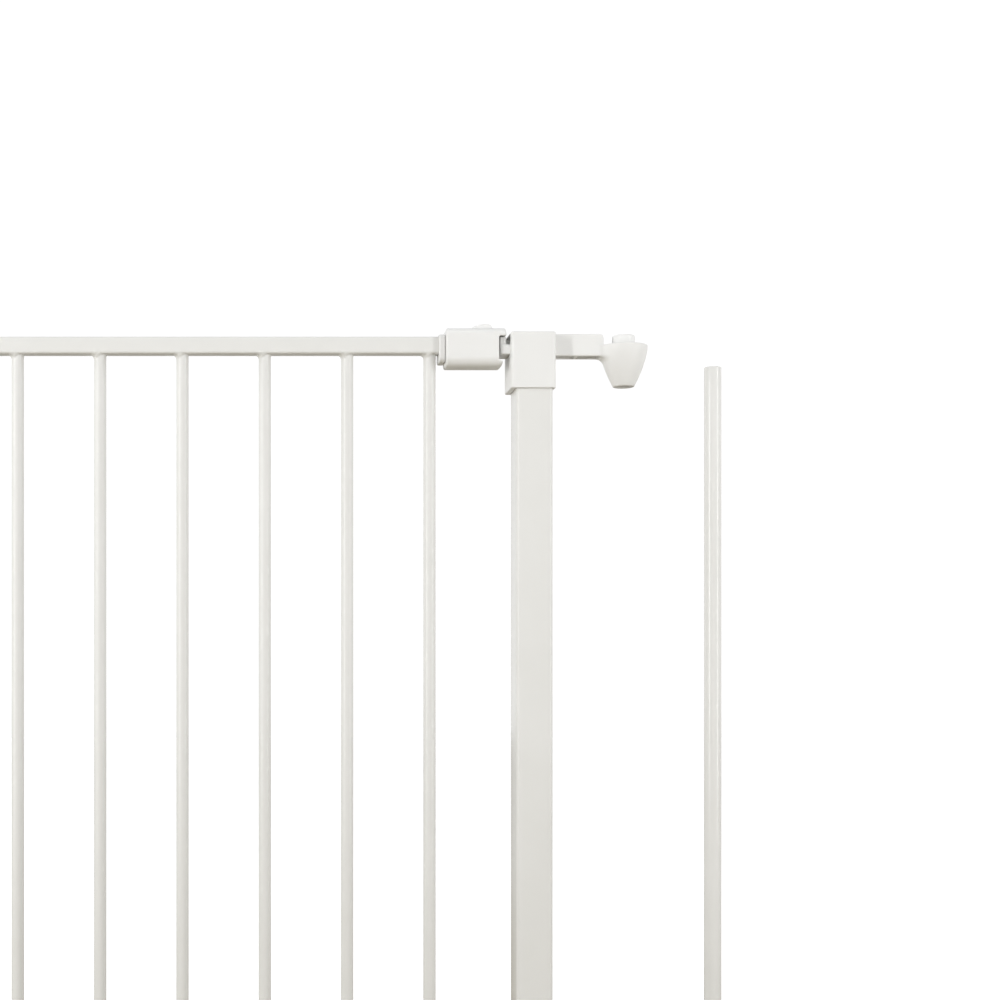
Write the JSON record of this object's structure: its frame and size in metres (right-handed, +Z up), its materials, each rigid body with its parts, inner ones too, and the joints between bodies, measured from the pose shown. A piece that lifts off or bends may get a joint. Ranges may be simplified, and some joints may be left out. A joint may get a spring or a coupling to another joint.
{
  "type": "pet gate section",
  "caption": "White steel pet gate section with a swinging barred door, a lock handle, moulded corner fittings with cones and a loose connecting rod.",
  "frame": {"origin": "on the floor, under the middle of the threshold tube", "axes": "+X along the gate towards the lock, -Y towards the front, +Z up"},
  "size_m": [0.8231, 0.0417, 0.7138],
  "materials": {
    "white_steel": "satin white powder coat with fine orange peel",
    "white_plastic": "fine moulded grain, semi-matt",
    "nylon": "natural nylon",
    "zinc": "zinc plated",
    "spring_steel": "drawn wire"
  },
  "bodies": {
    "frame": {"left_post": "white_steel", "right_post": "white_steel", "threshold": "white_steel", "lower_hinge_socket": "white_plastic", "socket_screw": "zinc", "catch_cup": "white_plastic", "catch_screw": "zinc", "bottom_left_fitting": "white_plastic", "bottom_left_fitting_screw": "zinc", "bottom_left_rod_bush": "white_plastic", "bottom_right_fitting": "white_plastic", "bottom_right_fitting_screw": "zinc", "bottom_right_rod_bush": "white_plastic", "top_left_fitting": "white_plastic", "top_left_fitting_screw": "zinc", "top_left_rod_bush": "white_plastic", "top_right_fitting": "white_plastic", "top_right_fitting_screw": "zinc", "top_right_rod_bush": "white_plastic"},
    "hinge_bushes": {"upper_hinge_bush": "nylon", "lower_hinge_bush": "nylon"},
    "door": {"bar_1": "white_steel", "bar_2": "white_steel", "bar_3": "white_steel", "bar_4": "white_steel", "bar_5": "white_steel", "bar_6": "white_steel", "bottom_rail": "white_steel", "bottom_rail_hinge_plug": "white_plastic", "bottom_rail_lock_plug": "white_plastic", "catch_pin": "zinc", "handle_back_shell": "white_plastic", "handle_front_shell": "white_plastic", "handle_screw_1": "zinc", "handle_screw_2": "zinc", "hinge_stile": "white_steel", "latch_spring": "spring_steel", "lock_collar": "white_plastic", "lock_core": "white_plastic", "lower_hinge_pin": "zinc", "top_rail": "white_steel", "top_rail_plug": "white_plastic", "upper_hinge_pin": "zinc"},
    "latch": {"latch_bolt": "white_plastic", "thumb_slider": "white_plastic"},
    "rod": {"connecting_rod": "white_steel", "rod_lower_plug": "white_plastic", "rod_upper_plug": "white_plastic"}
  },
  "joints": [
    {"name": "door_swing", "type": "hinge", "parent": "frame", "child": "hinge_bushes", "pos_m": [-0.24575, 0, 0.35], "axis": [0, 0, 1], "range_deg": [-90, 90]},
    {"name": "door_lift", "type": "slide", "parent": "hinge_bushes", "child": "door", "axis": [0, 0, 1], "range_m": [0, 0.008]},
    {"name": "latch_slide", "type": "slide", "parent": "door", "child": "latch", "axis": [-1, 0, 0], "range_m": [0, 0.008], "stiffness_N_per_m": 250, "springref_m": -0.01, "deforming": ["latch_spring"]},
    {"name": "rod_lift", "type": "slide", "parent": "frame", "child": "rod", "axis": [0, 0, 1], "range_m": [0, 0.705]}
  ]
}
